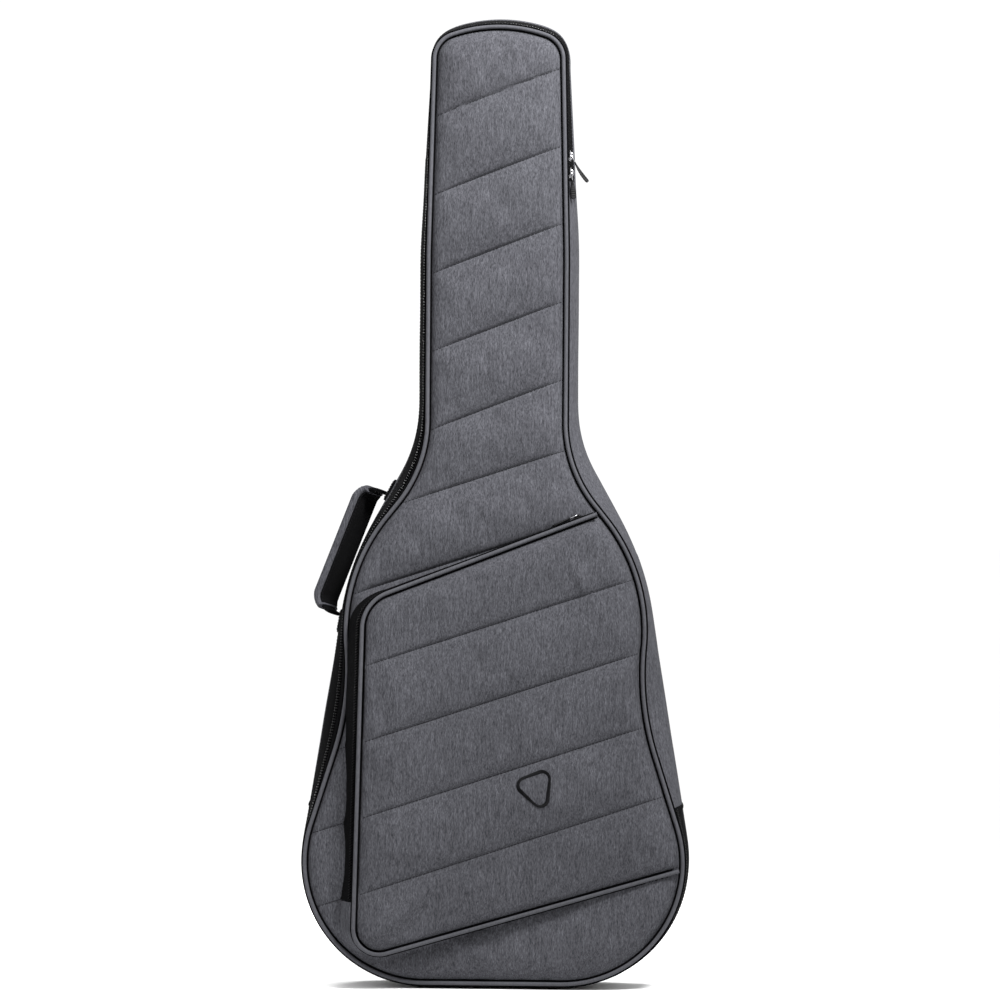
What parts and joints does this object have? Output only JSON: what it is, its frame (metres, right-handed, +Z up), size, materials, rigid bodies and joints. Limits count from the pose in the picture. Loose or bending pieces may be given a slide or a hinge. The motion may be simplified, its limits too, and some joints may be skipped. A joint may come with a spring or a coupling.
{
  "type": "padded gig bag",
  "caption": "Padded guitar gig bag, tall neck and waisted body, slanted quilting, zipped slant-top front pocket, side handle and shoulder straps.",
  "frame": {"origin": "middle of the box's underside, where the bag stands", "axes": "+Z up to the head, -Y the front with the pocket, +X the viewer's right"},
  "size_m": [0.4318, 0.1756, 1.08],
  "materials": {
    "heather_cloth": "heather grey melange weave",
    "piping_cloth": "grey woven bias tape",
    "zip_tape": "black twill tape",
    "zip_coil": "black nylon coil",
    "boot_cloth": "black coated cloth",
    "foam": "closed-cell foam",
    "lining": "dark nylon lining",
    "webbing": "black ribbed webbing",
    "slider_metal": "plated zinc",
    "pull_moulding": "moulded black pull",
    "buckle_plastic": "black acetal",
    "motif_thread": "black satin-stitch thread"
  },
  "bodies": {
    "body": {"body_zip_coil": "zip_coil", "body_zip_tape": "zip_tape", "hinge_strip": "heather_cloth", "zip_end_tabs": "zip_tape", "gusset_right": "heather_cloth", "gusset_left": "heather_cloth", "base_boot": "boot_cloth", "gusset_foam": "foam", "gusset_lining": "lining", "back_panel": "heather_cloth", "back_foam": "foam", "back_lining": "lining", "back_piping": "piping_cloth", "neck_cradle": "lining", "end_pad": "lining", "head_pad": "lining", "handle_anchors": "webbing", "strap_yoke": "heather_cloth", "strap_anchors": "webbing"},
    "lid": {"front_panel": "heather_cloth", "front_foam": "foam", "front_lining": "lining", "front_piping": "piping_cloth", "lid_zip_tape": "zip_tape", "lid_zip_coil": "zip_coil", "pocket_gusset": "heather_cloth", "pocket_panel": "heather_cloth", "pocket_foam": "foam", "pocket_piping": "piping_cloth", "pocket_motif": "motif_thread", "pocket_zip_tape": "zip_tape", "pocket_zip_coil": "zip_coil"},
    "flap": {"flap_panel": "heather_cloth", "flap_foam": "foam", "flap_piping": "piping_cloth", "flap_zip_tape": "zip_tape", "flap_zip_coil": "zip_coil"},
    "upper_zip_slider": {"upper_slider": "slider_metal"},
    "upper_zip_pull": {"upper_pull": "pull_moulding"},
    "lower_zip_slider": {"lower_slider": "slider_metal"},
    "lower_zip_pull": {"lower_pull": "pull_moulding"},
    "pocket_zip_slider": {"pocket_slider": "slider_metal"},
    "pocket_zip_pull": {"pocket_pull": "pull_moulding"},
    "handle": {"handle_tabs": "webbing", "handle_cover": "heather_cloth", "handle_foam": "foam", "handle_lining": "boot_cloth"},
    "left_strap": {"left_strap_pad": "heather_cloth", "left_strap_webbing": "webbing", "left_ladder_lock": "buckle_plastic"},
    "right_strap": {"right_strap_pad": "heather_cloth", "right_strap_webbing": "webbing", "right_ladder_lock": "buckle_plastic"}
  },
  "joints": [
    {"name": "lid_hinge", "type": "hinge", "parent": "body", "child": "lid", "pos_m": [0.20997, -0.05625, 0.16097], "axis": [-0.1547, 0, 0.988], "range_deg": [0, 110]},
    {"name": "pocket_fold", "type": "hinge", "parent": "lid", "child": "flap", "pos_m": [-0.15717, -0.0866, 0.097], "axis": [0.5199, 0.0354, 0.8535], "range_deg": [0, 60]},
    {"name": "upper_slider_slide", "type": "slide", "parent": "body", "child": "upper_zip_slider", "axis": [-0.0231, 0, 0.9997], "range_m": [0, 0.088]},
    {"name": "upper_pull_hinge", "type": "hinge", "parent": "upper_zip_slider", "child": "upper_zip_pull", "pos_m": [0.079, -0.03895, 0.92411], "axis": [0, -1, 0], "range_deg": [0, 110]},
    {"name": "lower_slider_slide", "type": "slide", "parent": "body", "child": "lower_zip_slider", "axis": [-0.0231, 0, 0.9997], "range_m": [0, 0.006]},
    {"name": "lower_pull_hinge", "type": "hinge", "parent": "lower_zip_slider", "child": "lower_zip_pull", "pos_m": [0.07944, -0.03895, 0.90511], "axis": [0, -1, 0], "range_deg": [0, 20]},
    {"name": "pocket_slider_slide", "type": "slide", "parent": "lid", "child": "pocket_zip_slider", "axis": [-0.9314, -0.0635, -0.3584], "range_m": [0, 0.19]},
    {"name": "pocket_pull_hinge", "type": "hinge", "parent": "pocket_zip_slider", "child": "pocket_zip_pull", "pos_m": [0.09034, -0.06111, 0.5242], "axis": [-0.068, 0.9977, 0], "range_deg": [0, 110]},
    {"name": "handle_swing", "type": "hinge", "parent": "body", "child": "handle", "pos_m": [-0.18379, 0.00575, 0.40844], "axis": [0.3624, 0, 0.932], "range_deg": [-6, 70]},
    {"name": "left_strap_swing", "type": "hinge", "parent": "body", "child": "left_strap", "pos_m": [-0.045, 0.06425, 0.64], "axis": [-0.2103, 0, -0.9776], "range_deg": [-12, 12]},
    {"name": "right_strap_swing", "type": "hinge", "parent": "body", "child": "right_strap", "pos_m": [0.045, 0.06425, 0.64], "axis": [0.2103, 0, -0.9776], "range_deg": [-12, 12]}
  ]
}
